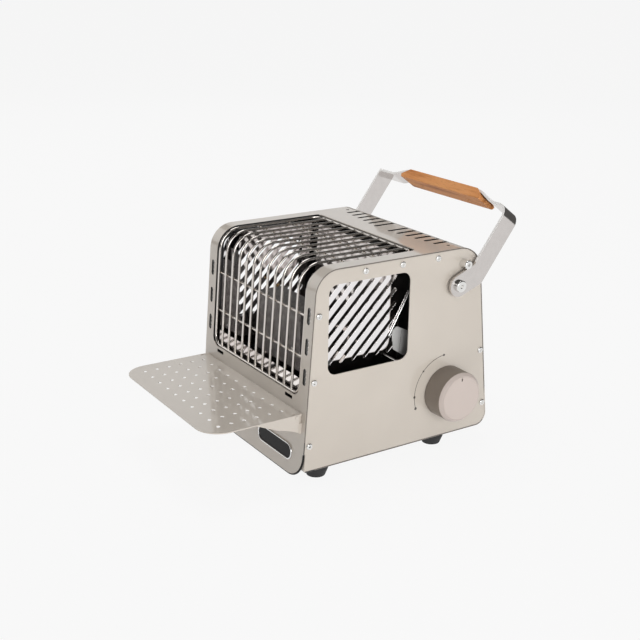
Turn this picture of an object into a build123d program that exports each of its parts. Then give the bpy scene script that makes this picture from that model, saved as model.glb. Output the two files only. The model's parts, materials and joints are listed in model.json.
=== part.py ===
from build123d import *
import os
from math import cos, hypot, radians, sin

# A tabletop gas camping heater: a folded sheet case with a wire grille over its front and top, a
# fold-down tray, a swing handle, side windows behind slotted guards, a gas knob on the right and a
# cartridge bay at the rear. Millimetres, +Z up, the front faces -Y, the knob is on +X. The origin
# is on the ground, midway between the four feet.

os.makedirs("parts", exist_ok=True)

# ---- case ----
CASE_WIDTH = 236.0
CASE_HEIGHT = 227.2          # side panel, bottom edge to top edge
CASE_BASE = 264.6            # side panel, front to rear at the bottom edge
FRONT_LEAN = 0.0694          # the front leans back by this much per mm of height
REAR_LEAN = 0.119
FRONT_TOP_RADIUS = 28.0
REAR_TOP_RADIUS = 32.0
REAR_BOTTOM_RADIUS = 13.0
SHEET = 1.2
SEAM = 0.3                   # gap between a side panel's edge and the folded sheet round it
FLANGE = 12.0                # inward flange that the side panels are screwed to
SHELL_SPLIT = 183.6          # height of the joint between the upper and the lower folded sheet
SKIRT_DROP = 11.5            # how far the front sheet hangs below the side panels
SKIRT_RADIUS = 29.5
SKIRT_INSET = 1.5            # the skirt is narrower than the front by this much on each side
SKIRT_TOP = 20.5             # and meets it in a small step at this height
SEAL_PROUD = 0.9             # how far the dark seal shows round the skirt
SEAL_DROP = 2.0              # and below it
SEAL_SHEET = 1.0
HALF = CASE_WIDTH / 2
PANEL_INNER = HALF - SHEET

# ---- feet and ground ----
FOOT_HEIGHT = 15.0
FOOT_X = 102.0
FEET_Y = (-105.0, 61.0)
FOOT_TOP_RADIUS = 14.2
FOOT_GROUND_RADIUS = 10.75
CASE_Y = -(FEET_Y[0] + FEET_Y[1]) / 2

# ---- openings in the case ----
OPENING_HALF = 100.0
OPENING_BOTTOM = 82.6
OPENING_REAR = 27.1
OPENING_RADIUS = 12.0
SLOT_X = 109.0
SLOT_SIZE = (19.0, 6.0)
SLOT_HEIGHTS = (109.0, 143.5, 178.0)
VENT_PITCH = 14.8
VENT_FIRST = 14.0
VENT_COUNT = 6
VENT_WIDTH = 4.8
VENT_REAR = 82.0
WINDOW_CENTRE = (-47.5, 159.5)
WINDOW_SIZE = (109.0, 103.0)
WINDOW_RADIUS = 11.0

# ---- grille ----
WIRE = 1.5                   # radius of every grille wire
BAR_COUNT = 11
BAR_PITCH = 16.2
BAR_DEPTH = -1.2             # bar centres, measured out from the side panel's outline
FRAME_HALF = 97.8
FRAME_BOTTOM = 83.8
FRAME_REAR = 24.9
FRAME_CORNER = 13.0
RUN_LAP = 2.0                # how far each half of the frame runs past the middle
CROSS_HEIGHTS = (126.4, 173.4)
CROSS_TOP_Y = (-62.0, -20.0)
WELD = 0.3                   # how deep touching wires sink into each other

# ---- tray ----
TRAY_TOP = 67.0
TRAY_HALF = 111.0
TRAY_FRONT = -246.0
TRAY_RADIUS = 28.0
TRAY_HOLES = (10, 6)
TRAY_HOLE_PITCH = (20.55, 15.6)
TRAY_HOLES_Y = -184.5
TRAY_HOLE_RADIUS = 2.3
HINGE_REACH = 7.0            # tray hinge axis, in front of the front sheet
HINGE_DROP = 3.0             # and below the tray's top face
HINGE_PIN = 1.5
RUNNING = 0.05               # radial clearance of every running fit

# ---- handle ----
PIVOT = (72.0, 186.2)
HANDLE_LEAN = 36.5           # degrees back from upright at rest
STRAP = 3.0
STRAP_HALF = 126.0
STRAP_EDGES = (3.2, 27.2)    # strap width, across the arm, measured behind the pivot
SHOULDER = 109.5             # pivot to the crossbar's outer face at its ends
CROWN = 118.6                # and over the grip
SHOULDER_RADIUS = 16.0
JOG = (95.0, 71.0)           # where the crossbar starts and ends its rise to the crown
JOG_RADIUS = 20.0
PIVOT_BOLT = 4.0
STOP_PIN = (81.8, 210.2)
STOP_PIN_RADIUS = 5.3

# ---- knob and gas train ----
KNOB_AXIS = (65.0, 56.6)
KNOB_RADIUS = 30.5
KNOB_FACE_RADIUS = 27.4
KNOB_START = 118.6
KNOB_EDGE = 144.7
KNOB_FACE = 148.4
SPINDLE = 4.0
CARTRIDGE_AXIS = (76.0, 46.5)
SOCKET_RADIUS = 7.05

# ---- rear door ----
DOOR_LEFT = -104.0
DOOR_RIGHT = 78.0
DOOR_BOTTOM = 9.0
DOOR_TOP = 82.5
DOOR_LAP = 6.0               # how far the door covers the sheet on its left and right
DOOR_HINGE_OUT = 5.2         # hinge axis, out from the side panel's rear edge


def side_plane(x):
    """Upright plane across X: local axes run rearwards and up, solids grow towards +X."""
    return Plane(origin=(x, CASE_Y, FOOT_HEIGHT), x_dir=(0, 1, 0), z_dir=(1, 0, 0))


def level_plane(z):
    """Level plane at a height above the side panels' bottom edge."""
    return Plane(origin=(0, CASE_Y, FOOT_HEIGHT + z), x_dir=(1, 0, 0), z_dir=(0, 0, 1))


def cross_plane(y):
    """Upright plane facing the front: local axes are X and up, solids grow towards -Y."""
    return Plane(origin=(0, CASE_Y + y, FOOT_HEIGHT), x_dir=(1, 0, 0), z_dir=(0, -1, 0))


def front_plane(out):
    """Plane of the leaning front, `out` mm in front of the side panels' front edge."""
    foot = (0, CASE_Y - CASE_BASE / 2, FOOT_HEIGHT)
    return Plane(origin=foot, x_dir=(1, 0, 0), z_dir=(0, -1, FRONT_LEAN)).offset(out)


def rear_plane(out):
    """Plane of the leaning rear, `out` mm behind the side panels. Local x is world -X."""
    foot = (0, CASE_Y + CASE_BASE / 2, FOOT_HEIGHT)
    return Plane(origin=foot, x_dir=(-1, 0, 0), z_dir=(0, 1, REAR_LEAN)).offset(out)


def front_y(z, out=0.0):
    return -CASE_BASE / 2 + FRONT_LEAN * z - out * hypot(1, FRONT_LEAN)


def rear_y(z, out=0.0):
    return CASE_BASE / 2 - REAR_LEAN * z + out * hypot(1, REAR_LEAN)


def case_outline(grow=0.0, bottom=0.0):
    """The case from the side, `grow` mm larger all round, closed off at the height `bottom`."""
    top = CASE_HEIGHT + grow
    with BuildSketch() as outline:
        with BuildLine():
            Polyline(
                (front_y(bottom, grow), bottom),
                (rear_y(bottom, grow), bottom),
                (rear_y(top, grow), top),
                (front_y(top, grow), top),
                close=True,
            )
        make_face()
        fillet(outline.vertices().group_by(Axis.Y)[-1].sort_by(Axis.X)[0], FRONT_TOP_RADIUS + grow)
        fillet(outline.vertices().group_by(Axis.Y)[-1].sort_by(Axis.X)[-1], REAR_TOP_RADIUS + grow)
        if bottom > -REAR_BOTTOM_RADIUS:
            lower = outline.vertices().group_by(Axis.Y)[0].sort_by(Axis.X)
            fillet(lower[-1], REAR_BOTTOM_RADIUS + grow)
    return outline.sketch


def band(outer, inner, bottom=0.0, inner_bottom=None):
    """The strip between two growths of the case outline."""
    with BuildSketch() as strip:
        add(case_outline(outer, bottom))
        add(case_outline(inner, bottom if inner_bottom is None else inner_bottom), mode=Mode.SUBTRACT)
    return strip.sketch


def window(y_low, y_high, z_low, z_high):
    """A plain rectangle between two depths and two heights."""
    with BuildSketch() as face:
        with Locations(((y_low + y_high) / 2, (z_low + z_high) / 2)):
            Rectangle(y_high - y_low, z_high - z_low)
    return face.sketch


def bent_sheet(points, thickness):
    """The edge-on face of a folded sheet that follows `points`, thick towards their left."""
    with BuildSketch() as face:
        with BuildLine() as fold:
            Polyline(*points)
            offset(amount=thickness, side=Side.LEFT)
        make_face()
    return face.sketch


def save(piece, label):
    piece.part.label = label
    export_step(piece.part, f"parts/{label}.step")


# ---- upper shell: front skirt, front, top and rear bend in one folded sheet ----
with BuildPart() as upper_shell:
    with BuildSketch(side_plane(-HALF)):
        add(band(SEAM + SHEET, SEAM, -SKIRT_DROP, -3 * SKIRT_DROP))
        add(window(0, CASE_BASE, -CASE_BASE, SHELL_SPLIT), mode=Mode.SUBTRACT)
    extrude(amount=CASE_WIDTH)
    for flange_x in (-PANEL_INNER, PANEL_INNER - SHEET):
        with BuildSketch(side_plane(flange_x)):
            add(band(SEAM + SHEET / 2, -FLANGE, SKIRT_TOP + 0.5))
            add(window(0, CASE_BASE, 0, SHELL_SPLIT), mode=Mode.SUBTRACT)
        extrude(amount=SHEET)
    # rounded bottom corners of the skirt
    with BuildSketch(front_plane(-2)):
        with Locations((0, SKIRT_TOP - 20)):
            Rectangle(CASE_WIDTH + 10, 40)
        with Locations((0, 100 - SKIRT_DROP)):
            RectangleRounded(CASE_WIDTH - 2 * SKIRT_INSET, 200, SKIRT_RADIUS, mode=Mode.SUBTRACT)
    extrude(amount=6, mode=Mode.SUBTRACT)
    # grille opening, cut through the front and through the top
    with BuildSketch(front_plane(6)):
        with Locations((0, OPENING_BOTTOM + CASE_HEIGHT / 2)):
            RectangleRounded(2 * OPENING_HALF, CASE_HEIGHT, OPENING_RADIUS)
    extrude(amount=-46, mode=Mode.SUBTRACT)
    with BuildSketch(level_plane(CASE_HEIGHT + 6)):
        with Locations((0, OPENING_REAR - CASE_BASE / 4)):
            RectangleRounded(2 * OPENING_HALF, CASE_BASE / 2, OPENING_RADIUS / 2)
    extrude(amount=-46, mode=Mode.SUBTRACT)
    # louvre slots beside the grille, and the two slits that the grille's tabs hook into
    with BuildSketch(front_plane(3)):
        with Locations(*[(side * SLOT_X, height) for side in (-1, 1) for height in SLOT_HEIGHTS]):
            SlotOverall(*SLOT_SIZE, rotation=90)
        with Locations((-80, OPENING_BOTTOM - 4.6), (80, OPENING_BOTTOM - 4.6)):
            Rectangle(15, 3.8)
    extrude(amount=-6, mode=Mode.SUBTRACT)
    # two groups of vents across the top, longest next to the middle
    with BuildSketch(level_plane(CASE_HEIGHT - 3)):
        for number in range(VENT_COUNT):
            length = 31 - 2.1 * number
            for side in (-1, 1):
                with Locations((side * (VENT_FIRST + number * VENT_PITCH), VENT_REAR - length / 2)):
                    SlotOverall(length, VENT_WIDTH, rotation=90)
        with Locations((-102, 72), (102, 72)):
            Circle(2)
    extrude(amount=6, mode=Mode.SUBTRACT)
    # screw holes in the flanges
    with BuildSketch(side_plane(-HALF)):
        screw_spots = [(front_y(z) + 5.2, z) for z in (30, 104, 179)]
        screw_spots += [(y, CASE_HEIGHT - 6.4) for y in (-55.5, -5.5, 44.5)]
        with Locations(*screw_spots):
            Circle(1.5 + RUNNING)
    extrude(amount=CASE_WIDTH, mode=Mode.SUBTRACT)
save(upper_shell, "upper_shell")

# ---- lower shell: base, rear corner and rear wall in one folded sheet ----
rear_spots = [(rear_y(z) - 4.6, z) for z in (28, 97.5)]
with BuildPart() as lower_shell:
    with BuildSketch(side_plane(-HALF)):
        add(band(SEAM + SHEET, SEAM, -SEAM - SHEET, -SEAM))
        add(window(-CASE_BASE, CASE_BASE, SHELL_SPLIT - 0.4, 2 * CASE_HEIGHT), mode=Mode.SUBTRACT)
        add(window(-CASE_BASE, 0, 5, 2 * CASE_HEIGHT), mode=Mode.SUBTRACT)
        add(window(-CASE_BASE, front_y(0) + 2.8, -20, 20), mode=Mode.SUBTRACT)
    extrude(amount=CASE_WIDTH)
    for flange_x in (-PANEL_INNER, PANEL_INNER - SHEET):
        with BuildSketch(side_plane(flange_x)):
            add(band(SEAM + SHEET / 2, -FLANGE, -SEAM - SHEET / 2, FLANGE))
            add(window(-CASE_BASE, front_y(0) + FLANGE + 6, -20, 20), mode=Mode.SUBTRACT)
            add(window(-CASE_BASE, 0, FLANGE, 2 * CASE_HEIGHT), mode=Mode.SUBTRACT)
            add(window(-CASE_BASE, CASE_BASE, SHELL_SPLIT - 0.4, 2 * CASE_HEIGHT), mode=Mode.SUBTRACT)
        extrude(amount=SHEET)
    with BuildSketch(side_plane(-HALF)):
        with Locations(*rear_spots):
            Circle(1.5 + RUNNING)
    extrude(amount=CASE_WIDTH, mode=Mode.SUBTRACT)
    # door opening and a row of cooling slots in the rear wall
    with BuildSketch(rear_plane(-4)):
        door_middle = -(DOOR_LEFT + DOOR_RIGHT) / 2
        with Locations((door_middle, 46)):
            RectangleRounded(DOOR_RIGHT - DOOR_LEFT - 2 * DOOR_LAP, 68, 5)
        with GridLocations(VENT_PITCH, 1, 2 * VENT_COUNT, 1):
            with Locations((0, 158)):
                SlotOverall(24, VENT_WIDTH, rotation=90)
    extrude(amount=8, mode=Mode.SUBTRACT)
    # air intake in the base, and the holes for the foot screws
    with BuildSketch(level_plane(-6)):
        with Locations((0, -20)):
            with GridLocations(26, 14, 6, 3):
                SlotOverall(18, 4.2)
        with Locations(*[(side * FOOT_X, y) for side in (-1, 1) for y in FEET_Y]):
            Circle(2 + RUNNING)
    extrude(amount=12, mode=Mode.SUBTRACT)
save(lower_shell, "lower_shell")

# ---- side panels, each with a window ----
RETURN_WIDTH = 14.0          # the panel's front edge folds inwards behind the seal
for side, label in ((1, "side_panel_right"), (-1, "side_panel_left")):
    with BuildPart() as panel:
        with BuildSketch(side_plane(PANEL_INNER if side > 0 else -HALF)):
            add(case_outline())
            with BuildLine():
                Polyline(
                    (front_y(-2), -2), (front_y(-2, -SEAL_SHEET), -2),
                    (front_y(SKIRT_TOP, -SEAL_SHEET), SKIRT_TOP),
                    (front_y(SKIRT_TOP, 1), SKIRT_TOP), (front_y(-2, 1), -2), close=True,
                )
            make_face(mode=Mode.SUBTRACT)
            with Locations(WINDOW_CENTRE):
                RectangleRounded(*WINDOW_SIZE, WINDOW_RADIUS, mode=Mode.SUBTRACT)
            with Locations(*(screw_spots + rear_spots)):
                Circle(1.5 + RUNNING, mode=Mode.SUBTRACT)
            with Locations(PIVOT):
                Circle(PIVOT_BOLT + RUNNING, mode=Mode.SUBTRACT)
            with Locations(STOP_PIN):
                Circle(3 + RUNNING, mode=Mode.SUBTRACT)
            if side > 0:
                with Locations(KNOB_AXIS):
                    Circle(6, mode=Mode.SUBTRACT)
        extrude(amount=SHEET)
        with BuildSketch(front_plane(-SEAL_SHEET)):
            with Locations((side * (HALF - RETURN_WIDTH / 2), SKIRT_TOP / 2)):
                Rectangle(RETURN_WIDTH, SKIRT_TOP - 1)
        extrude(amount=-SHEET)
    save(panel, label)

# ---- button-head screws of the side panels ----
with BuildPart() as panel_screws:
    with BuildSketch(side_plane(HALF)):
        with Locations(*(screw_spots + rear_spots)):
            Circle(3.8)
    extrude(amount=2.2)
    fillet(panel_screws.faces().filter_by(Axis.X).group_by(Axis.X)[-1].edges(), 1.2)
    with BuildSketch(side_plane(HALF + 2.2)):
        with Locations(*(screw_spots + rear_spots)):
            RegularPolygon(1.5, 6)
    extrude(amount=-1.3, mode=Mode.SUBTRACT)
    with BuildSketch(side_plane(HALF)):
        with Locations(*(screw_spots + rear_spots)):
            Circle(1.5)
    extrude(amount=-5)
    mirror(about=Plane.YZ)
save(panel_screws, "panel_screws")

# ---- dark seal behind the skirt, just proud of its rounded corners ----
with BuildPart() as skirt_seal:
    seal_width = CASE_WIDTH - 2 * (SKIRT_INSET - SEAL_PROUD)
    with BuildSketch(front_plane(SEAM)):
        with Locations((0, 100 - SKIRT_DROP - SEAL_DROP)):
            RectangleRounded(seal_width, 200, SKIRT_RADIUS + SEAL_PROUD)
        with Locations((0, 100 + SKIRT_TOP - SEAM)):
            Rectangle(CASE_WIDTH, 200, mode=Mode.SUBTRACT)
    extrude(amount=-SEAL_SHEET)
save(skirt_seal, "skirt_seal")

# ---- perforated strips behind the louvre slots ----
SCREEN_SIZE = (12.0, 95.0)
SCREEN_SHEET = 0.8
SCREEN_HOLE = 1.3
with BuildPart() as louvre_screens:
    with BuildSketch(front_plane(SEAM)):
        with Locations(*[(side * SLOT_X, SLOT_HEIGHTS[1]) for side in (-1, 1)]):
            Rectangle(*SCREEN_SIZE)
        for height in SLOT_HEIGHTS:
            with Locations(*[(side * SLOT_X, height + rise) for side in (-1, 1) for rise in (-5, 0, 5)]):
                Circle(SCREEN_HOLE, mode=Mode.SUBTRACT)
    extrude(amount=-SCREEN_SHEET)
save(louvre_screens, "louvre_screens")


# ---- grille: a bent frame wire and bent bars, with cross wires welded behind them ----
def wire_run(x, bottom, rear):
    """Centre line of a grille bar: up the front, round the bend and back along the top."""
    top = CASE_HEIGHT + BAR_DEPTH
    with BuildLine(side_plane(x)) as run:
        FilletPolyline(
            (front_y(bottom, BAR_DEPTH), bottom),
            (front_y(top, BAR_DEPTH), top),
            (rear, top),
            radius=FRONT_TOP_RADIUS + BAR_DEPTH,
        )
    return run.line


def end_plane(x, bottom):
    """Plane across a bar at its lower end."""
    return Plane(
        origin=side_plane(x).from_local_coords((front_y(bottom, BAR_DEPTH), bottom, 0)),
        z_dir=(0, FRONT_LEAN, 1),
    )


with BuildPart() as grille_bars:
    for number in range(BAR_COUNT):
        bar_x = (number - (BAR_COUNT - 1) / 2) * BAR_PITCH
        bar_bottom = FRAME_BOTTOM + WIRE - WELD
        bar_path = wire_run(bar_x, bar_bottom, FRAME_REAR - WIRE + WELD)
        with BuildSketch(end_plane(bar_x, bar_bottom)):
            Circle(WIRE)
        sweep(path=bar_path)
save(grille_bars, "grille_bars")

def corner_run(plane, level, turn):
    """Centre line from just past the middle of a cross run, out to its corner and round it."""
    corner_start = FRAME_HALF - FRAME_CORNER
    bend = FRAME_CORNER * (1 - sin(radians(45)))
    with BuildLine(plane) as run:
        Line((-RUN_LAP, level), (corner_start, level))
        ThreePointArc(
            (corner_start, level),
            (FRAME_HALF - bend, level + turn * bend),
            (FRAME_HALF, level + turn * FRAME_CORNER),
        )
    return run.line


with BuildPart() as grille_frame:
    side_bottom = FRAME_BOTTOM + FRAME_CORNER
    with BuildSketch(end_plane(FRAME_HALF, side_bottom)):
        Circle(WIRE)
    sweep(path=wire_run(FRAME_HALF, side_bottom, FRAME_REAR - FRAME_CORNER))
    lower_level = side_bottom * hypot(1, FRONT_LEAN) - BAR_DEPTH * FRONT_LEAN - FRAME_CORNER
    lower_run = (front_plane(BAR_DEPTH), lower_level, 1)
    rear_run = (level_plane(CASE_HEIGHT + BAR_DEPTH), FRAME_REAR, -1)
    for plane, level, turn in (lower_run, rear_run):
        with BuildSketch(Plane(origin=plane.from_local_coords((-RUN_LAP, level, 0)), z_dir=(1, 0, 0))):
            Circle(WIRE)
        sweep(path=corner_run(plane, level, turn))
    mirror(about=Plane.YZ)
save(grille_frame, "grille_frame")

with BuildPart() as grille_cross_wires:
    cross_out = BAR_DEPTH - 2 * WIRE + WELD
    with BuildSketch(side_plane(-FRAME_HALF)):
        with Locations(*[(front_y(height, cross_out), height) for height in CROSS_HEIGHTS]):
            Circle(WIRE)
        with Locations(*[(y, CASE_HEIGHT + BAR_DEPTH - 2 * WIRE + WELD) for y in CROSS_TOP_Y]):
            Circle(WIRE)
    extrude(amount=2 * FRAME_HALF)
save(grille_cross_wires, "grille_cross_wires")

# ---- slotted mirror plates behind the windows: the chamber's side walls ----
GUARD_X = 98.6
GUARD_SHEET = 1.0
GUARD_FIXINGS = [(-107.5, 103), (-1.5, 103), (-85, 213.2), (10, 213.2)]
SLOT_FIELD = (-89.4, -0.9, 114.4, 203.4)     # lowest and highest slot end, in depth and in height
SLOT_WIDTH = 5.0
SLOT_OFFSET = 122.5          # height minus depth along the lowest slot
SLOT_RISE = 16.1             # and from one slot to the next
SLOT_COUNT = 11
for side, label in ((1, "guard_plate_right"), (-1, "guard_plate_left")):
    with BuildPart() as guard:
        with BuildSketch(side_plane(GUARD_X if side > 0 else -GUARD_X - GUARD_SHEET)):
            add(case_outline(-7))
            add(window(-CASE_BASE, CASE_BASE, -20, 64), mode=Mode.SUBTRACT)
            with BuildLine():
                Polyline((23, 230), (20.5, 184), (5.5, 148), (5.5, 0), (140, 0), (140, 230), close=True)
            make_face(mode=Mode.SUBTRACT)
            for number in range(SLOT_COUNT):
                offset_up = SLOT_OFFSET + SLOT_RISE * number
                low_y = max(SLOT_FIELD[0], SLOT_FIELD[2] - offset_up)
                high_y = min(SLOT_FIELD[1], SLOT_FIELD[3] - offset_up)
                middle_y = (low_y + high_y) / 2
                with Locations((middle_y, middle_y + offset_up)):
                    SlotCenterToCenter(
                        (high_y - low_y) * hypot(1, 1), SLOT_WIDTH, rotation=45, mode=Mode.SUBTRACT
                    )
            with Locations(*GUARD_FIXINGS):
                Circle(1.25 + RUNNING, mode=Mode.SUBTRACT)
        extrude(amount=GUARD_SHEET)
    save(guard, label)

with BuildPart() as guard_standoffs:
    with BuildSketch(side_plane(GUARD_X + GUARD_SHEET)):
        with Locations(*GUARD_FIXINGS):
            Circle(1.9)
    extrude(amount=PANEL_INNER - GUARD_X - GUARD_SHEET)
    with BuildSketch(side_plane(GUARD_X - 1.2)):
        with Locations(*GUARD_FIXINGS):
            Circle(1.25)
    extrude(amount=1.2 + GUARD_SHEET + 1)
    mirror(about=Plane.YZ)
save(guard_standoffs, "guard_standoffs")

# ---- combustion chamber ----
CHAMBER_HALF = 98.0
REFLECTOR_HALF = 90.0
CHAMBER_SHEET = 0.8
CHAMBER_FLOOR = 70.0
MIXING_TUBE_AXIS = (-55.0, 88.0)
PIPE_X = 78.0
PIPE_Z = 56.0
PIPE_RADIUS = 2.0
with BuildPart() as reflector:
    with BuildSketch(side_plane(-REFLECTOR_HALF)):
        add(bent_sheet([(-78, CHAMBER_FLOOR), (8, CHAMBER_FLOOR), (21, 219)], CHAMBER_SHEET))
    extrude(amount=2 * REFLECTOR_HALF)
    with BuildSketch(level_plane(CHAMBER_FLOOR - 3)):
        with Locations((PIPE_X, MIXING_TUBE_AXIS[0])):
            Circle(PIPE_RADIUS + 2)
    extrude(amount=8, mode=Mode.SUBTRACT)
save(reflector, "reflector")

with BuildPart() as lower_reflector:
    with BuildSketch(side_plane(-CHAMBER_HALF)):
        add(bent_sheet([(-125, 79), (-118.5, 61.7), (-86.7, 61.7), (-80, 69.7)], CHAMBER_SHEET))
    extrude(amount=2 * CHAMBER_HALF)
save(lower_reflector, "lower_reflector")

with BuildPart() as heat_shield:
    with BuildSketch(side_plane(-CHAMBER_HALF)):
        add(bent_sheet([(18, -SEAM), (31, -SEAM), (31, 214), (44, 214)], SHEET))
    extrude(amount=2 * CHAMBER_HALF)
    with BuildSketch(cross_plane(34)):
        with Locations((PIPE_X, PIPE_Z)):
            Circle(PIPE_RADIUS + 2)
    extrude(amount=8, mode=Mode.SUBTRACT)
save(heat_shield, "heat_shield")

# ---- burner ----
BURNER_LEFT = -77.5
BURNER_RIGHT = 22.0
BURNER_FRONT = -77.0
BURNER_REAR = -42.0
BURNER_BOTTOM = 76.0
BURNER_TOP = 150.0
BURNER_WALL = 1.0
burner_middle = ((BURNER_LEFT + BURNER_RIGHT) / 2, (BURNER_BOTTOM + BURNER_TOP) / 2)
burner_size = (BURNER_RIGHT - BURNER_LEFT, BURNER_TOP - BURNER_BOTTOM)
with BuildPart() as burner_body:
    with BuildSketch(cross_plane(BURNER_REAR)):
        with Locations(burner_middle):
            Rectangle(*burner_size)
    extrude(amount=BURNER_REAR - BURNER_FRONT)
    with BuildSketch(cross_plane(BURNER_REAR - BURNER_WALL)):
        with Locations(burner_middle):
            Rectangle(burner_size[0] - 2 * BURNER_WALL, burner_size[1] - 2 * BURNER_WALL)
    extrude(amount=BURNER_REAR - BURNER_FRONT, mode=Mode.SUBTRACT)
    with BuildSketch(side_plane(BURNER_RIGHT - 3)):
        with Locations(MIXING_TUBE_AXIS):
            Circle(8 + RUNNING)
    extrude(amount=6, mode=Mode.SUBTRACT)
save(burner_body, "burner_body")

with BuildPart() as burner_plaque:
    with BuildSketch(cross_plane(BURNER_FRONT + 12)):
        with Locations(burner_middle):
            Rectangle(burner_size[0] - 2 * BURNER_WALL - 0.4, burner_size[1] - 2 * BURNER_WALL - 0.4)
    extrude(amount=11)
save(burner_plaque, "burner_plaque")

with BuildPart() as burner_mesh:
    with BuildSketch(cross_plane(BURNER_FRONT)):
        with Locations(burner_middle):
            Rectangle(*burner_size)
    extrude(amount=0.8)
save(burner_mesh, "burner_mesh")

with BuildPart() as burner_brackets:
    for bracket_x in (BURNER_LEFT + 10, BURNER_RIGHT - 24):
        with BuildSketch(side_plane(bracket_x)):
            foot = CHAMBER_FLOOR + CHAMBER_SHEET
            add(bent_sheet([(BURNER_REAR, 104), (BURNER_REAR, foot), (-24, foot)], SHEET))
        extrude(amount=14)
save(burner_brackets, "burner_brackets")

with BuildPart() as mixing_tube:
    with BuildSketch(side_plane(BURNER_RIGHT - 10)):
        with Locations(MIXING_TUBE_AXIS):
            Circle(8)
            Circle(6.8, mode=Mode.SUBTRACT)
    extrude(amount=56)
    with BuildSketch(level_plane(MIXING_TUBE_AXIS[1])):
        with Locations((BURNER_RIGHT + 38, MIXING_TUBE_AXIS[0])):
            SlotOverall(10, 5)
    extrude(amount=10, mode=Mode.SUBTRACT)
save(mixing_tube, "mixing_tube")

with BuildPart() as gas_jet:
    with BuildSketch(side_plane(70)):
        with Locations(MIXING_TUBE_AXIS):
            RegularPolygon(5.5, 6)
    extrude(amount=12)
    with BuildSketch(side_plane(64)):
        with Locations(MIXING_TUBE_AXIS):
            Circle(3)
    extrude(amount=6)
    with BuildSketch(level_plane(MIXING_TUBE_AXIS[1] - 16)):
        with Locations((PIPE_X, MIXING_TUBE_AXIS[0])):
            Circle(3.4)
            Circle(PIPE_RADIUS + RUNNING, mode=Mode.SUBTRACT)
    extrude(amount=12)
save(gas_jet, "gas_jet")

# ---- valve, regulator and gas pipe ----
with BuildPart() as regulator_body:
    with BuildSketch(side_plane(86)):
        with Locations(KNOB_AXIS):
            Circle(15)
        with Locations(CARTRIDGE_AXIS):
            Circle(13)
    extrude(amount=20)
    with BuildSketch(side_plane(80)):
        with Locations(CARTRIDGE_AXIS):
            Circle(13)
    extrude(amount=6)
    with BuildSketch(side_plane(80)):
        with Locations(CARTRIDGE_AXIS):
            Circle(SOCKET_RADIUS)
    extrude(amount=7, mode=Mode.SUBTRACT)
    with BuildSketch(side_plane(106)):
        with Locations(KNOB_AXIS):
            Circle(8)
    extrude(amount=6)
    with BuildSketch(side_plane(96)):
        with Locations(KNOB_AXIS):
            Circle(SPINDLE + RUNNING)
    extrude(amount=20, mode=Mode.SUBTRACT)
save(regulator_body, "regulator_body")

with BuildPart() as regulator_bracket:
    with BuildSketch(side_plane(106)):
        with Locations((KNOB_AXIS[0], KNOB_AXIS[1] - 12)):
            RectangleRounded(46, 62, 4)
        with Locations(KNOB_AXIS):
            Circle(8 + RUNNING, mode=Mode.SUBTRACT)
    extrude(amount=1.5)
    with BuildSketch(side_plane(106)):
        with Locations((KNOB_AXIS[0], 14.35)):
            Rectangle(38, 1.5)
    extrude(amount=PANEL_INNER - 106)
save(regulator_bracket, "regulator_bracket")

with BuildPart() as gas_pipe:
    outlet_y = KNOB_AXIS[0] - 15
    with BuildLine(level_plane(PIPE_Z)) as pipe_run:
        FilletPolyline(
            (90, outlet_y, 0), (90, outlet_y - 10, 0), (PIPE_X, outlet_y - 16, 0),
            (PIPE_X, MIXING_TUBE_AXIS[0], 0), (PIPE_X, MIXING_TUBE_AXIS[0], 82 - PIPE_Z),
            radius=5,
        )
    pipe_start = level_plane(PIPE_Z).from_local_coords((90, outlet_y, 0))
    with BuildSketch(Plane(origin=pipe_start, z_dir=(0, -1, 0))):
        Circle(PIPE_RADIUS)
    sweep(path=pipe_run.line)
save(gas_pipe, "gas_pipe")

with BuildPart() as valve_spindle:
    with BuildSketch(side_plane(98)):
        with Locations(KNOB_AXIS):
            Circle(SPINDLE)
    extrude(amount=42)
save(valve_spindle, "valve_spindle")

# ---- knob: a drum with a chamfered front edge and a flush cap ----
with BuildPart() as knob:
    with BuildSketch(side_plane(KNOB_START)):
        with Locations(KNOB_AXIS):
            Circle(KNOB_RADIUS)
    extrude(amount=KNOB_FACE - KNOB_START)
    chamfer(
        knob.edges().group_by(Axis.X)[-1],
        length=KNOB_FACE - KNOB_EDGE, length2=KNOB_RADIUS - KNOB_FACE_RADIUS,
    )
    with BuildSketch(side_plane(KNOB_FACE)):
        with Locations(KNOB_AXIS):
            Circle(KNOB_FACE_RADIUS - 1.2)
    extrude(amount=-1.4, mode=Mode.SUBTRACT)
    with BuildSketch(side_plane(KNOB_START)):
        with Locations(KNOB_AXIS):
            Circle(KNOB_RADIUS - 3)
            Circle(9, mode=Mode.SUBTRACT)
    extrude(amount=18, mode=Mode.SUBTRACT)
    with BuildSketch(side_plane(KNOB_START)):
        with Locations(KNOB_AXIS):
            Circle(SPINDLE)
    extrude(amount=21.4, mode=Mode.SUBTRACT)
save(knob, "knob")

with BuildPart() as knob_cap:
    with BuildSketch(side_plane(KNOB_FACE - 1.4)):
        with Locations(KNOB_AXIS):
            Circle(KNOB_FACE_RADIUS - 1.25)
    extrude(amount=1.4)
    with BuildSketch(side_plane(KNOB_FACE)):
        with Locations((KNOB_AXIS[0], KNOB_AXIS[1] + KNOB_FACE_RADIUS - 4.4)):
            SlotOverall(4, 1.8, rotation=90)
    extrude(amount=-0.4, mode=Mode.SUBTRACT)
save(knob_cap, "knob_cap")

# ---- ignition and safety ----
with BuildPart() as piezo_unit:
    with BuildSketch(side_plane(70)):
        with Locations((KNOB_AXIS[0] + 26, KNOB_AXIS[1] + 22)):
            RectangleRounded(16, 12, 2)
    extrude(amount=34)
save(piezo_unit, "piezo_unit")

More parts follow.
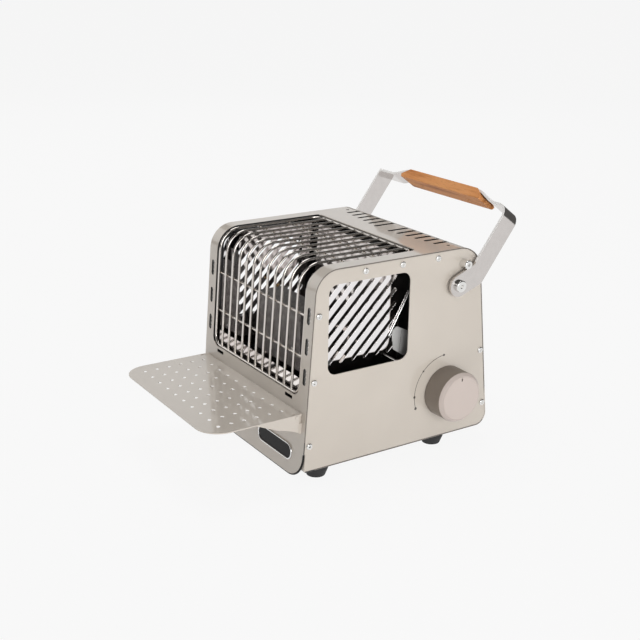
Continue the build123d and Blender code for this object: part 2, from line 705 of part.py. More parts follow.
ELECTRODE = (29.0, -72.0)
with BuildPart() as igniter_electrode:
    electrode_foot = CHAMBER_FLOOR + CHAMBER_SHEET
    with BuildSketch(level_plane(electrode_foot)):
        with Locations(ELECTRODE):
            Circle(3)
    extrude(amount=14)
    with BuildLine(level_plane(electrode_foot + 14)) as spark_wire:
        FilletPolyline(
            (*ELECTRODE, 0), (*ELECTRODE, 8), (ELECTRODE[0], -84, 14), (14, -84, 20), radius=2.5
        )
    with BuildSketch(level_plane(electrode_foot + 14)):
        with Locations(ELECTRODE):
            Circle(1)
    sweep(path=spark_wire.line)
save(igniter_electrode, "igniter_electrode")

sensor_x = GUARD_X + GUARD_SHEET
with BuildPart() as sensor_bracket:
    with BuildSketch(side_plane(sensor_x)):
        with BuildLine():
            Polyline(
                (-2.5, 137.5), (4.5, 141.5), (22.5, 132.5), (22.5, 108.5), (14.5, 104.5), (-0.5, 114.5),
                close=True,
            )
        make_face()
        fillet(vertices(), 3)
        with Locations((9.5, 122.5)):
            SlotOverall(26, 0.8, rotation=84, mode=Mode.SUBTRACT)
    extrude(amount=0.8)
save(sensor_bracket, "sensor_bracket")

SENSOR_ROD = 0.7
SENSOR_ENDS = ((-7.9, 132.4), (19.6, 181.4))
with BuildPart() as thermocouple:
    rod_plane = side_plane(sensor_x + 0.8 + SENSOR_ROD)
    with BuildLine(rod_plane) as rod_line:
        Line(*SENSOR_ENDS)
    with BuildSketch(Plane(origin=rod_line.line @ 0, z_dir=rod_line.line % 0)):
        Circle(SENSOR_ROD)
    sweep(path=rod_line.line)
save(thermocouple, "thermocouple")

with BuildPart() as tilt_switch:
    with BuildSketch(level_plane(-SEAM)):
        with Locations((84, 108)):
            RectangleRounded(18, 16, 2)
    extrude(amount=11)
save(tilt_switch, "tilt_switch")

with BuildPart() as cartridge_rails:
    for rail_y in (CARTRIDGE_AXIS[0] - 12, CARTRIDGE_AXIS[0] + 12):
        with BuildSketch(side_plane(-88)):
            with Locations((rail_y, 7 - SEAM)):
                Rectangle(6, 14)
        extrude(amount=150)
save(cartridge_rails, "cartridge_rails")

# ---- blank badge: a dark plate in a polished rim ----
BADGE_CENTRE = (59.0, 14.0)
BADGE_SIZE = (74.0, 20.0)
with BuildPart() as badge_rim:
    with BuildSketch(front_plane(SEAM + SHEET)):
        with Locations(BADGE_CENTRE):
            SlotOverall(*BADGE_SIZE)
            SlotOverall(BADGE_SIZE[0] - 3.2, BADGE_SIZE[1] - 3.2, mode=Mode.SUBTRACT)
    extrude(amount=1.8)
    fillet(badge_rim.faces().sort_by(Axis.Y)[0].edges(), 0.6)
save(badge_rim, "badge_rim")

with BuildPart() as badge_plate:
    with BuildSketch(front_plane(SEAM + SHEET)):
        with Locations(BADGE_CENTRE):
            SlotOverall(BADGE_SIZE[0] - 3.4, BADGE_SIZE[1] - 3.4)
    extrude(amount=0.8)
save(badge_plate, "badge_plate")

# ---- tray, its hinge ears, pins and stop pads ----
hinge_z = TRAY_TOP - HINGE_DROP
hinge_y = front_y(hinge_z, SEAM + SHEET) - HINGE_REACH
EAR_X = 107.2
EAR_SHEET = 1.5
GUSSET_OUT = 5.0             # rear edge of a gusset, out from the side panel's front edge
GUSSET_FRONT = -190.0
GUSSET_FOOT = 45.6
GUSSET_EDGE = ((-146.0, 50.3), (-160.2, 54.2))    # where its lower edge changes slope
tray_rear = hinge_y + 6.0
with BuildPart() as tray:
    with BuildSketch(level_plane(TRAY_TOP - SHEET)):
        with Locations((0, (TRAY_FRONT + tray_rear) / 2)):
            Rectangle(2 * TRAY_HALF, tray_rear - TRAY_FRONT)
        fillet(vertices().group_by(Axis.Y)[0], TRAY_RADIUS)
        with Locations((0, TRAY_HOLES_Y)):
            with GridLocations(*TRAY_HOLE_PITCH, *TRAY_HOLES):
                Circle(TRAY_HOLE_RADIUS, mode=Mode.SUBTRACT)
        for side in (-1, 1):
            with Locations((side * (EAR_X + EAR_SHEET / 2), hinge_y + 2)):
                Rectangle(2.6, 14, mode=Mode.SUBTRACT)
    extrude(amount=SHEET)
    for gusset_x in (TRAY_HALF - SHEET, -TRAY_HALF):
        with BuildSketch(side_plane(gusset_x)):
            with BuildLine():
                Polyline(
                    (GUSSET_FRONT, TRAY_TOP), (front_y(TRAY_TOP, GUSSET_OUT), TRAY_TOP),
                    (front_y(GUSSET_FOOT, GUSSET_OUT), GUSSET_FOOT),
                    *GUSSET_EDGE, close=True,
                )
            make_face()
            with Locations((hinge_y, hinge_z)):
                Circle(HINGE_PIN + RUNNING, mode=Mode.SUBTRACT)
        extrude(amount=SHEET)
save(tray, "tray")

with BuildPart() as tray_hinge_ears:
    sheet_face = SEAM + SHEET
    with BuildSketch(side_plane(EAR_X)):
        with BuildLine():
            Polyline(
                (front_y(46, sheet_face), 46), (hinge_y - HINGE_DROP, hinge_z),
                (hinge_y, TRAY_TOP), (front_y(TRAY_TOP, sheet_face), TRAY_TOP), close=True,
            )
        make_face()
        with Locations((hinge_y, hinge_z)):
            Circle(HINGE_DROP)
            Circle(HINGE_PIN + RUNNING, mode=Mode.SUBTRACT)
    extrude(amount=EAR_SHEET)
    with BuildSketch(front_plane(sheet_face)):
        with Locations((EAR_X - 4, 53)):
            Rectangle(10, 13)
    extrude(amount=EAR_SHEET)
    mirror(about=Plane.YZ)
save(tray_hinge_ears, "tray_hinge_ears")

with BuildPart() as tray_hinge_pins:
    with BuildSketch(side_plane(EAR_X - 1)):
        with Locations((hinge_y, hinge_z)):
            Circle(HINGE_PIN)
    extrude(amount=TRAY_HALF + 0.2 - EAR_X + 1)
    with BuildSketch(side_plane(TRAY_HALF + 0.2)):
        with Locations((hinge_y, hinge_z)):
            Circle(2.2)
    extrude(amount=0.6)
    mirror(about=Plane.YZ)
save(tray_hinge_pins, "tray_hinge_pins")

with BuildPart() as tray_stop_pads:
    with BuildSketch(front_plane(sheet_face)):
        with Locations((TRAY_HALF - 0.9, 50.2)):
            Rectangle(1.8, 12.4)
    extrude(amount=GUSSET_OUT - sheet_face - 0.1)
    mirror(about=Plane.YZ)
save(tray_stop_pads, "tray_stop_pads")

# ---- handle: local axes run along the arm (d) and across it, towards the rear (n) ----
ARM = (sin(radians(HANDLE_LEAN)), cos(radians(HANDLE_LEAN)))
ACROSS = (cos(radians(HANDLE_LEAN)), -sin(radians(HANDLE_LEAN)))


def arm_point(d, n):
    """Depth and height of a point given along and across the handle's arm."""
    return (PIVOT[0] + d * ARM[0] + n * ACROSS[0], PIVOT[1] + d * ARM[1] + n * ACROSS[1])


def handle_plane(n):
    """Plane of the handle's loop, n mm behind the pivot; solids grow towards the rear."""
    y, z = arm_point(0, n)
    origin = side_plane(0).from_local_coords((y, z, 0))
    return Plane(origin=origin, x_dir=(-1, 0, 0), z_dir=(0, ACROSS[0], ACROSS[1]))


def strap_outline(inset):
    """The handle's loop seen square on, `inset` mm inside its outer face."""
    half = STRAP_HALF - inset
    shoulder = SHOULDER - inset
    crown = CROWN - inset
    with BuildSketch() as outline:
        with BuildLine():
            Polyline(
                (-half, 0), (-half, shoulder), (-JOG[0], shoulder), (-JOG[1], crown),
                (JOG[1], crown), (JOG[0], shoulder), (half, shoulder), (half, 0), close=True,
            )
        make_face()
        corners = outline.vertices().filter_by_position(Axis.Y, shoulder - 1, shoulder + 1)
        fillet(corners.sort_by(Axis.X)[0], SHOULDER_RADIUS - inset)
        fillet(corners.sort_by(Axis.X)[-1], SHOULDER_RADIUS - inset)
        jogs = outline.vertices().filter_by_position(Axis.X, -JOG[0] - 1, JOG[0] + 1)
        fillet(jogs.filter_by_position(Axis.Y, 50, CROWN + 1), JOG_RADIUS)
    return outline.sketch


def crown_plane(d):
    """Plane across the arms at a distance along them, centred on the strap; it faces outwards."""
    origin = side_plane(0).from_local_coords((*arm_point(d, sum(STRAP_EDGES) / 2), 0))
    return Plane(origin=origin, x_dir=(1, 0, 0), z_dir=(0, *ARM))


GRIP_SCREWS = [(-45, 0), (45, 0)]
with BuildPart() as handle_strap:
    with BuildSketch(handle_plane(STRAP_EDGES[0])):
        add(strap_outline(0))
        add(strap_outline(STRAP), mode=Mode.SUBTRACT)
        with Locations((0, 0)):
            Rectangle(3 * STRAP_HALF, 60, mode=Mode.SUBTRACT)
    extrude(amount=STRAP_EDGES[1] - STRAP_EDGES[0])
    for lug_x in (STRAP_HALF - STRAP, -STRAP_HALF):
        lean = radians(22)
        lug_radius = 13.0
        across = (-sin(lean) * lug_radius, cos(lean) * lug_radius)
        with BuildSketch(side_plane(lug_x)):
            with BuildLine():
                Polyline(
                    (PIVOT[0] + across[0], PIVOT[1] + across[1]),
                    arm_point(30.1, STRAP_EDGES[0]),
                    arm_point(34, STRAP_EDGES[0]),
                    arm_point(34, STRAP_EDGES[1]),
                    arm_point(18, STRAP_EDGES[1]),
                    (PIVOT[0] - across[0], PIVOT[1] - across[1]),
                    close=True,
                )
            make_face()
            with Locations(PIVOT):
                Circle(lug_radius)
                Circle(PIVOT_BOLT + RUNNING, mode=Mode.SUBTRACT)
        extrude(amount=STRAP)
    with BuildSketch(crown_plane(CROWN + 1)):
        with Locations(*GRIP_SCREWS):
            Circle(1.75 + RUNNING)
    extrude(amount=-STRAP - 2, mode=Mode.SUBTRACT)
save(handle_strap, "handle_strap")

# the grip lies under the crossbar, which is let into a groove along its top
GRIP_HALVES = (75.5, 77.5, 65.0)
GRIP_DEPTHS = (106.6, 110.5, 119.0)
GRIP_EDGES = (0.8, 29.6)     # across the arm
GROOVE_EASE = 0.2
with BuildPart() as grip:
    with BuildSketch(handle_plane(GRIP_EDGES[0])):
        with BuildLine():
            right_edge = list(zip(GRIP_HALVES, GRIP_DEPTHS))
            left_edge = [(-x, d) for x, d in reversed(right_edge)]
            Polyline(*right_edge, *left_edge, close=True)
        make_face()
    extrude(amount=GRIP_EDGES[1] - GRIP_EDGES[0])
    fillet(grip.faces().sort_by(Axis.Z)[0].edges().filter_by(Axis.X), 2.0)
    with BuildSketch(handle_plane(STRAP_EDGES[0] - GROOVE_EASE)):
        with Locations((0, CROWN)):
            Rectangle(3 * STRAP_HALF, 60)
        add(strap_outline(STRAP + GROOVE_EASE), mode=Mode.SUBTRACT)
    extrude(amount=STRAP_EDGES[1] - STRAP_EDGES[0] + 2 * GROOVE_EASE, mode=Mode.SUBTRACT)
    with BuildSketch(crown_plane(CROWN - STRAP)):
        with Locations(*GRIP_SCREWS):
            Circle(1.75 + RUNNING)
    extrude(amount=-9, mode=Mode.SUBTRACT)
save(grip, "grip")

with BuildPart() as grip_screws:
    with BuildSketch(crown_plane(CROWN)):
        with Locations(*GRIP_SCREWS):
            Circle(3.4)
    extrude(amount=0.8)
    with BuildSketch(crown_plane(CROWN)):
        with Locations(*GRIP_SCREWS):
            Circle(1.75)
    extrude(amount=-STRAP - 8)
save(grip_screws, "grip_screws")

# ---- what the handle turns on and rests against ----
LUG_GAP = 0.2
SPACER = STRAP_HALF - STRAP - HALF
with BuildPart() as pivot_bolts:
    with BuildSketch(side_plane(STRAP_HALF + LUG_GAP)):
        with Locations(PIVOT):
            Circle(7)
    extrude(amount=4)
    fillet(pivot_bolts.edges().group_by(Axis.X)[-1], 1.2)
    with BuildSketch(side_plane(STRAP_HALF + LUG_GAP + 4)):
        with Locations(PIVOT):
            RegularPolygon(2.6, 6)
    extrude(amount=-2.4, mode=Mode.SUBTRACT)
    with BuildSketch(side_plane(STRAP_HALF + LUG_GAP)):
        with Locations(PIVOT):
            Circle(PIVOT_BOLT)
    extrude(amount=-14)
    mirror(about=Plane.YZ)
save(pivot_bolts, "pivot_bolts")

with BuildPart() as pivot_spacers:
    with BuildSketch(side_plane(HALF)):
        with Locations(PIVOT):
            Circle(9)
            Circle(PIVOT_BOLT + RUNNING, mode=Mode.SUBTRACT)
    extrude(amount=SPACER - LUG_GAP)
    mirror(about=Plane.YZ)
save(pivot_spacers, "pivot_spacers")

with BuildPart() as stop_pins:
    with BuildSketch(side_plane(HALF)):
        with Locations(STOP_PIN):
            Circle(STOP_PIN_RADIUS)
    extrude(amount=11)
    fillet(stop_pins.edges().group_by(Axis.X)[-1], 1.2)
    with BuildSketch(side_plane(HALF + 11)):
        with Locations(STOP_PIN):
            RegularPolygon(2, 6)
    extrude(amount=-2, mode=Mode.SUBTRACT)
    with BuildSketch(side_plane(HALF)):
        with Locations(STOP_PIN):
            Circle(3)
    extrude(amount=-6)
    mirror(about=Plane.YZ)
save(stop_pins, "stop_pins")

with BuildPart() as handle_nuts:
    with BuildSketch(side_plane(PANEL_INNER - 3.2)):
        with Locations(PIVOT):
            RegularPolygon(7.5, 6)
            Circle(PIVOT_BOLT + RUNNING, mode=Mode.SUBTRACT)
        with Locations(STOP_PIN):
            Circle(3.9)
            Circle(3 + RUNNING, mode=Mode.SUBTRACT)
    extrude(amount=3.2)
    mirror(about=Plane.YZ)
save(handle_nuts, "handle_nuts")

# ---- feet ----
foot_spots = [(side * FOOT_X, y) for side in (-1, 1) for y in FEET_Y]
BASE_FACE = -SEAM - SHEET
FOOT_RECESS = 7.0
with BuildPart() as feet:
    with BuildSketch(level_plane(-FOOT_HEIGHT)):
        with Locations(*foot_spots):
            Circle(FOOT_GROUND_RADIUS)
    extrude(amount=9, taper=-21)
    with BuildSketch(level_plane(BASE_FACE)):
        with Locations(*foot_spots):
            Circle(FOOT_TOP_RADIUS)
    extrude(amount=-(FOOT_HEIGHT + BASE_FACE - 9))
    with BuildSketch(level_plane(-FOOT_HEIGHT)):
        with Locations(*foot_spots):
            Circle(4.4)
    extrude(amount=FOOT_RECESS, mode=Mode.SUBTRACT)
    with BuildSketch(level_plane(-FOOT_HEIGHT)):
        with Locations(*foot_spots):
            Circle(2 + RUNNING)
    extrude(amount=FOOT_HEIGHT, mode=Mode.SUBTRACT)
save(feet, "feet")

with BuildPart() as foot_screws:
    with BuildSketch(level_plane(-FOOT_HEIGHT + FOOT_RECESS)):
        with Locations(*foot_spots):
            Circle(3.8)
    extrude(amount=-2.6)
    with BuildSketch(level_plane(-FOOT_HEIGHT + FOOT_RECESS)):
        with Locations(*foot_spots):
            Circle(2)
    extrude(amount=11)
save(foot_screws, "foot_screws")

# ---- rear door over the cartridge bay, hinged along its lower edge ----
door_axis = (rear_y(8, DOOR_HINGE_OUT), 8)
DOOR_GAP = 0.3
KNUCKLE = 2.8
KNUCKLE_LENGTH = 30.0
DOOR_KNUCKLES = (-92.0, 34.0)
door_size = (DOOR_RIGHT - DOOR_LEFT, DOOR_TOP - DOOR_BOTTOM)
with BuildPart() as rear_door:
    with BuildSketch(rear_plane(SEAM + SHEET + DOOR_GAP)):
        with Locations((-(DOOR_LEFT + DOOR_RIGHT) / 2, (DOOR_TOP + DOOR_BOTTOM) / 2)):
            RectangleRounded(*door_size, 4)
        with Locations((-(DOOR_LEFT + DOOR_RIGHT) / 2, DOOR_TOP - 11)):
            Circle(2 + RUNNING, mode=Mode.SUBTRACT)
    extrude(amount=SHEET)
    for knuckle_x in DOOR_KNUCKLES:
        with BuildSketch(side_plane(knuckle_x)):
            with Locations(door_axis):
                Circle(KNUCKLE)
        extrude(amount=KNUCKLE_LENGTH)
    with BuildSketch(side_plane(DOOR_LEFT)):
        with Locations(door_axis):
            Circle(1.5 + RUNNING)
    extrude(amount=door_size[0], mode=Mode.SUBTRACT)
    # the edge between the knuckles stands clear of the fixed ones
    for relief_x in [x + KNUCKLE_LENGTH for x in DOOR_KNUCKLES]:
        with BuildSketch(side_plane(relief_x)):
            with Locations(door_axis):
                Circle(KNUCKLE + 0.4)
        extrude(amount=KNUCKLE_LENGTH, mode=Mode.SUBTRACT)
save(rear_door, "rear_door")

with BuildPart() as door_hinge_leaf:
    for knuckle_x in [x + KNUCKLE_LENGTH + 0.3 for x in DOOR_KNUCKLES]:
        with BuildSketch(side_plane(knuckle_x)):
            add(window(CASE_BASE / 2 - 10, door_axis[0], 3, door_axis[1] - 0.6))
            add(case_outline(SEAM + SHEET, -SEAM - SHEET), mode=Mode.SUBTRACT)
            with Locations(door_axis):
                Circle(KNUCKLE)
                Circle(1.5 + RUNNING, mode=Mode.SUBTRACT)
        extrude(amount=KNUCKLE_LENGTH - 0.6)
save(door_hinge_leaf, "door_hinge_leaf")

with BuildPart() as door_hinge_pins:
    for knuckle_x in DOOR_KNUCKLES:
        with BuildSketch(side_plane(knuckle_x - 1)):
            with Locations(door_axis):
                Circle(1.5)
        extrude(amount=2 * KNUCKLE_LENGTH + 1)
save(door_hinge_pins, "door_hinge_pins")

with BuildPart() as door_pull:
    with BuildSketch(rear_plane(SEAM + 2 * SHEET + DOOR_GAP)):
        with Locations((-(DOOR_LEFT + DOOR_RIGHT) / 2, DOOR_TOP - 11)):
            Circle(4)
    extrude(amount=3)
    with BuildSketch(rear_plane(SEAM + 2 * SHEET + DOOR_GAP + 3)):
        with Locations((-(DOOR_LEFT + DOOR_RIGHT) / 2, DOOR_TOP - 11)):
            Circle(7)
    extrude(amount=3)
    with BuildSketch(rear_plane(SEAM + SHEET)):
        with Locations((-(DOOR_LEFT + DOOR_RIGHT) / 2, DOOR_TOP - 11)):
            Circle(2)
    extrude(amount=3)
save(door_pull, "door_pull")

with BuildPart() as door_magnet:
    with BuildSketch(rear_plane(SEAM)):
        with Locations((-(DOOR_LEFT + DOOR_RIGHT) / 2, DOOR_TOP + 3)):
            Rectangle(24, 8)
    extrude(amount=-5)
save(door_magnet, "door_magnet")
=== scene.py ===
# %% [markdown]
# A gas camping heater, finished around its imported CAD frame.
# The CAD nodes already have the right size, place and joints, so this lesson adds what makes them
# look real: soft edges on folded sheet, wood grain, plating, a woven burner screen and printed
# marks. Everything is in metres in the frame's own axes, so nothing has to be fitted by eye.

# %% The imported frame
import json
import math

import bpy
from mathutils import Matrix, Vector


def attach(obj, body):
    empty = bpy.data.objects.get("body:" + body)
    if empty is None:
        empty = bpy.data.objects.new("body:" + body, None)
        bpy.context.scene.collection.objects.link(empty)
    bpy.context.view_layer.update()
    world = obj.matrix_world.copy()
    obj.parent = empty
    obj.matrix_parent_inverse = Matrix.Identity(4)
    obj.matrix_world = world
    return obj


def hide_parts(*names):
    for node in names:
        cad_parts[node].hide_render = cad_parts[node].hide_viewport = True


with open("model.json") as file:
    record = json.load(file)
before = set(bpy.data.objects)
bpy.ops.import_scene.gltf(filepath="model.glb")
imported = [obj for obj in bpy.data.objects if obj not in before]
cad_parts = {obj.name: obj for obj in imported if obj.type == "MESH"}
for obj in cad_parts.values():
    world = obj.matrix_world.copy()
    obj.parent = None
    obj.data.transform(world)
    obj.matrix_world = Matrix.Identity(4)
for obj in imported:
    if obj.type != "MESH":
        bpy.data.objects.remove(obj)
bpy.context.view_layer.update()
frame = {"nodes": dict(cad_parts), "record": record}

# %% [markdown]
# The camera is set first, because every judgement about detail depends on how large a millimetre
# is in the picture. A camera looks along its own -Z, so its three axes are built from the angles
# it is held at: azimuth round the object, elevation above the floor, and a slight roll.

# %% The camera
CAMERA_PLACE = Vector((1.03268, -0.69430, 0.56527))
AZIMUTH, ELEVATION, ROLL = (math.radians(angle) for angle in (56.60, 18.91, 0.945))

back = Vector((
    math.sin(AZIMUTH) * math.cos(ELEVATION),
    -math.cos(AZIMUTH) * math.cos(ELEVATION),
    math.sin(ELEVATION),
))
level = Vector((math.cos(AZIMUTH), math.sin(AZIMUTH), 0))
upright = back.cross(level)
right = level * math.cos(ROLL) + upright * math.sin(ROLL)
up = upright * math.cos(ROLL) - level * math.sin(ROLL)

camera_data = bpy.data.cameras.new("camera")
camera_data.lens = 61.27
camera_data.sensor_width = 36.0
camera_data.clip_end = 60.0
camera = bpy.data.objects.new("camera", camera_data)
bpy.context.scene.collection.objects.link(camera)
turned = Matrix((right, up, back)).transposed()
camera.matrix_world = Matrix.Translation(CAMERA_PLACE) @ turned.to_4x4()
bpy.context.scene.camera = camera
bpy.context.scene.view_settings.view_transform = "Standard"
print("camera", [round(v, 3) for v in camera.location], "lens", camera_data.lens)

# %% [markdown]
# Materials are node trees, and writing them as node after node hides the idea. A small class that
# wraps one socket and overloads the arithmetic operators lets a pattern be written as a formula.
# Any other node comes from one method, which sets the node's own settings before its sockets.

# %% A socket with arithmetic
class Signal:
    """One output of a finish's nodes; arithmetic on it adds Math nodes."""

    def __init__(self, finish, socket):
        self.finish = finish
        self.socket = socket

    def _math(self, operation, *inputs):
        return self.finish.node("ShaderNodeMath", {"operation": operation}, dict(enumerate(inputs)))

    def __add__(self, other):
        return self._math("ADD", self, other)

    def __sub__(self, other):
        return self._math("SUBTRACT", self, other)

    def __rsub__(self, other):
        return self._math("SUBTRACT", other, self)

    def __mul__(self, other):
        return self._math("MULTIPLY", self, other)

    def __gt__(self, other):
        return self._math("GREATER_THAN", self, other)

    def __lt__(self, other):
        return self._math("LESS_THAN", self, other)

    def __abs__(self):
        return self._math("ABSOLUTE", self)

    def sine(self):
        return self._math("SINE", self)

    def peak(self, other):
        return self._math("MAXIMUM", self, other)

    def away(self, other):
        """Distance from the origin of the point whose two coordinates are these signals."""
        return self._math("SQRT", self * self + other * other)

    def bearing(self, other):
        """Angle in degrees of that point, measured from the first coordinate."""
        return self._math("DEGREES", self._math("ARCTAN2", other, self))

    __radd__ = __add__
    __rmul__ = __mul__


def srgb(red, green, blue):
    """A colour given as it looks on a screen, 0 to 255, as the linear values a shader wants."""
    def linear(value):
        part = value / 255
        return part / 12.92 if part <= 0.04045 else ((part + 0.055) / 1.055) ** 2.4

    return linear(red), linear(green), linear(blue), 1.0


class Finish:
    """A material, and short ways to add nodes to it."""

    def __init__(self, name):
        self.material = bpy.data.materials.new(name)
        self.material.use_nodes = True
        self.tree = self.material.node_tree
        self.shader = self.tree.nodes["Principled BSDF"]
        self.place = self.node("ShaderNodeTexCoord", out="Object")

    def node(self, kind, settings=None, sockets=None, out=0):
        made = self.tree.nodes.new(kind)
        for key, value in (settings or {}).items():
            if key == "stops":
                ramp = made.color_ramp
                while len(ramp.elements) < len(value):
                    ramp.elements.new(0.5)
                for element, (position, colour) in zip(ramp.elements, value):
                    element.position = position
                    element.color = colour
            else:
                setattr(made, key, value)
        for key, value in (sockets or {}).items():
            self.feed(made.inputs[key], value)
        return Signal(self, made.outputs[out])

    def feed(self, socket, value):
        if isinstance(value, Signal):
            self.tree.links.new(value.socket, socket)
        else:
            socket.default_value = value

    def stretched(self, x, y, z):
        """The place on the piece, scaled along each axis."""
        return self.node("ShaderNodeMapping", {}, {"Vector": self.place, "Scale": (x, y, z)})

    def noise(self, scale, detail=2.0, at=None, roughness=0.5):
        return self.node("ShaderNodeTexNoise", {}, {
            "Vector": at or self.place, "Scale": scale, "Detail": detail, "Roughness": roughness,
        })

    def axis(self, index, at=None):
        return self.node("ShaderNodeSeparateXYZ", {}, {"Vector": at or self.place}, out=index)

    def facing(self, centre=None):
        """The face's own normal; with a centre, how far the face lies outwards from it."""
        normal = self.node("ShaderNodeNewGeometry", out="True Normal")
        if centre is None:
            return normal
        offset = self.node(
            "ShaderNodeVectorMath", {"operation": "SUBTRACT"}, {0: self.place, 1: centre}
        )
        return self.node(
            "ShaderNodeVectorMath", {"operation": "DOT_PRODUCT"}, {0: normal, 1: offset},
            out="Value",
        )

    def inside(self, low, high):
        """A mask of the places between two corners, mirrored to both sides of the case."""
        mask = 1.0
        for index, along in enumerate((abs(self.axis(0)), self.axis(1), self.axis(2))):
            mask = mask * ((along > low[index]) * (along < high[index]))
        return mask

    def edge_on(self, index):
        """A mask of the faces that are seen on their edge when looking along an axis."""
        return abs(self.axis(index, self.facing())) < 0.5

    def ramp(self, value, *stops):
        """A colour ramp; a stop's tint may be one number, for a grey."""
        coloured = [
            (position, tint if isinstance(tint, tuple) else (tint, tint, tint, 1))
            for position, tint in stops
        ]
        return self.node("ShaderNodeValToRGB", {"stops": coloured}, {"Fac": value})

    def mix(self, factor, first, second):
        return self.node(
            "ShaderNodeMix", {"data_type": "RGBA"}, {0: factor, 6: first, 7: second}, out=2
        )

    def bump(self, height, depth, strength):
        return self.node(
            "ShaderNodeBump", {}, {"Height": height, "Distance": depth, "Strength": strength}
        )

    def fed(self, name):
        """The signal that already feeds one of the shader's sockets."""
        return Signal(self, self.shader.inputs[name].links[0].from_socket)

    def surface(self, **sockets):
        for key, value in sockets.items():
            self.feed(self.shader.inputs[key.replace("_", " ")], value)


print("white is", [round(v, 2) for v in srgb(255, 255, 255)])

# %% [markdown]
# The case is sheet steel with a baked enamel in warm sand. Baked enamel is never perfectly flat:
# it has a fine orange-peel ripple, and a hard clear skin that mirrors what stands close to it. The
# colour goes on the base layer, the skin is the shader's coat. The tray's drain holes are punched
# after painting, so their walls are bare metal; they are the only places between its two faces.

# %% Sand enamel
SAND = srgb(213, 204, 193)
SAND_DEEP = srgb(207, 198, 187)
# Black for faces in shade inside the case and its openings: painted shade.
PAINTED_SHADE_BLACK = srgb(32, 30, 29)


def enamel(name, shade_mask_of=None):
    """Baked enamel; a second argument gives a mask of faces coloured black as painted shade."""
    paint = Finish(name)
    clouds = paint.noise(9.0, 3.0)
    flecks = paint.noise(2600.0, 1.0)
    colour = paint.mix(paint.ramp(clouds, (0.35, 0.0), (0.65, 1.0)), SAND, SAND_DEEP)
    colour = paint.mix(paint.ramp(flecks, (0.62, 0.0), (0.75, 0.10)), colour, srgb(244, 240, 232))
    colour = paint.mix(paint.ramp(flecks, (0.25, 0.08), (0.36, 0.0)), colour, srgb(120, 108, 94))
    peel = paint.noise(700.0, 2.0)
    skin = 1.0
    # The mask's faces are coloured black without a coat: painted shade.
    if shade_mask_of:
        in_shade = shade_mask_of(paint)
        colour = paint.mix(in_shade, colour, PAINTED_SHADE_BLACK)
        skin = 1 - in_shade
    paint.surface(
        Base_Color=colour, Roughness=0.34 + 0.10 * paint.noise(35.0, 4.0), Coat_Weight=skin,
        Coat_Roughness=0.05, Coat_IOR=1.5, Normal=paint.bump(peel, 0.00002, 0.5),
    )
    return paint


case_enamel = enamel("case_enamel_finish")
tray_enamel = enamel("tray_enamel_finish")
HOLES_LOW = (0.000, -0.209, 0.0809)
HOLES_HIGH = (0.100, -0.116, 0.0819)
hole_walls = tray_enamel.inside(HOLES_LOW, HOLES_HIGH)
tray_colour = tray_enamel.fed("Base Color")
tray_rough = tray_enamel.fed("Roughness")
tray_enamel.surface(
    Base_Color=tray_enamel.mix(hole_walls, tray_colour, srgb(250, 249, 247)), Metallic=hole_walls,
    Roughness=tray_rough * (1 - 0.6 * hole_walls), Coat_Weight=1 - hole_walls, Coat_IOR=1.75,
)
print("enamel has", len(case_enamel.tree.nodes), "nodes, the tray's", len(tray_enamel.tree.nodes))

# %% [markdown]
# The case's inner faces are coloured matt black: painted shade for the dark space behind the window
# and the vents. An inner face is one that looks back towards the middle of the case. A folded
# sheet's cut edges lie nearer to the middle than its faces do, so one distance tells the two apart.
# The walls of its vents and slots get the same black as painted shade inside these narrow openings,
# and its outer cut edges are darkened as painted shade of the seams. The side panels are flat, so
# there the depth of the face is enough; only their folded front edge, which shows beside the skirt,
# keeps the sand enamel as well.

# %% Black inside, as painted shade
CASE_MIDDLE = (0.0, 0.0, 0.130)
INNER_REACH = 0.099
PANEL_INNER = 0.11685
SHELL_HALF = 0.1176
EDGE_REAR = 0.150
SKIRT_CORNER = ((0.088, -0.160, 0.000), (0.122, -0.095, 0.050))
VENTS = ((0.000, 0.060, 0.2420), (0.112, 0.112, 0.2500))
LOUVRE_SLOTS = ((0.1045, -0.125, 0.1000), (0.1135, -0.080, 0.2200))
SLITS = ((0.0715, -0.125, 0.0880), (0.0885, -0.090, 0.0960))
SEAM_SHADE = srgb(118, 110, 102)


def cut_walls_in_shade(paint):
    """The walls of the vents, louvre slots and two slits below the grille, for painted shade."""
    in_front = paint.inside(*LOUVRE_SLOTS) + paint.inside(*SLITS)
    return paint.inside(*VENTS) * paint.edge_on(2) + in_front * paint.edge_on(1)


# Painted shade: the shell's inner faces and the walls of its openings are coloured black.
def shell_painted_shade(paint):
    return (paint.facing(CASE_MIDDLE) < -INNER_REACH).peak(cut_walls_in_shade(paint))


def seam_shade_mask(paint):
    """The thin cut edge of the folded sheet, darkened as painted shade of the seam along the side
    panels.
    """
    sideways = abs(paint.axis(0, paint.facing())) > 0.6
    return (abs(paint.axis(0)) > SHELL_HALF) * sideways * (paint.axis(1) < EDGE_REAR)


# Painted shade: the panels' inner faces are coloured black.
def panel_painted_shade(paint):
    return (abs(paint.axis(0)) < PANEL_INNER) * (paint.axis(1, paint.facing()) > -0.5)


shell_enamel = enamel("shell_enamel_finish", shell_painted_shade)
panel_enamel = enamel("panel_enamel_finish", panel_painted_shade)
print("primer is", [round(v, 3) for v in PAINTED_SHADE_BLACK[:3]])

# %% [markdown]
# The shell's cut edges are coloured over that enamel: a thin brown-grey line along the side panels,
# painted shade of the seam there, and black round the skirt's two lower corners, standing for the
# rubber seal's lip and painted shade of the gap behind it.

# %% Edges of the shell
with_seam_shade = shell_enamel.mix(
    seam_shade_mask(shell_enamel), shell_enamel.fed("Base Color"), SEAM_SHADE
)
